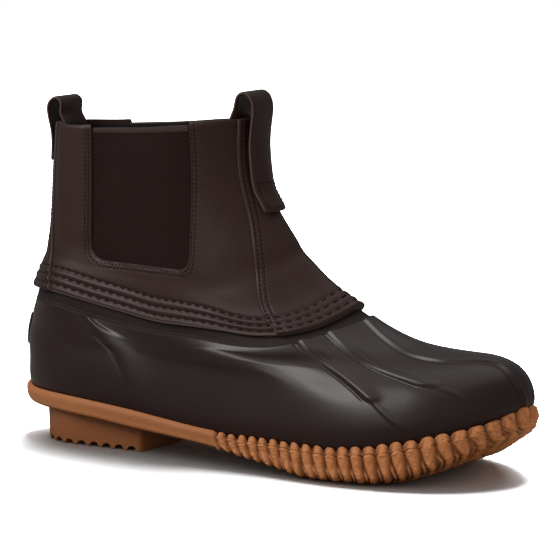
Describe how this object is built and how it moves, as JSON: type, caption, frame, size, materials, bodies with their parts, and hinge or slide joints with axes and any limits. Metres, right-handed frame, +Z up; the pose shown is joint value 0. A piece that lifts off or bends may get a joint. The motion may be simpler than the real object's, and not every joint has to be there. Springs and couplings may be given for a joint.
{
  "type": "duck boot",
  "caption": "Right pull-on duck boot: moulded rubber foot on a gum sole with a scalloped forefoot rim, leather shaft with elastic side gores, pull loops front and back.",
  "frame": {"origin": "bottom centre of the boot's bounding box, on the ground plane", "axes": "+X towards the toe, +Y towards the inner (medial) side, +Z up"},
  "size_m": [0.3044, 0.1088, 0.1925],
  "materials": {
    "rubber": "satin",
    "gum": "matte",
    "heel_gum": "matte",
    "leather": "satin",
    "gore": "matte",
    "lining": "matte"
  },
  "bodies": {
    "root": {"outsole": "gum", "heel": "heel_gum", "rubber_shell": "rubber", "insole": "lining", "shaft": "leather", "gore_lateral": "gore", "gore_medial": "gore", "front_panel": "leather", "back_strip": "leather", "front_pull_loop": "leather", "back_pull_loop": "leather", "heel_patch": "rubber"}
  },
  "joints": []
}
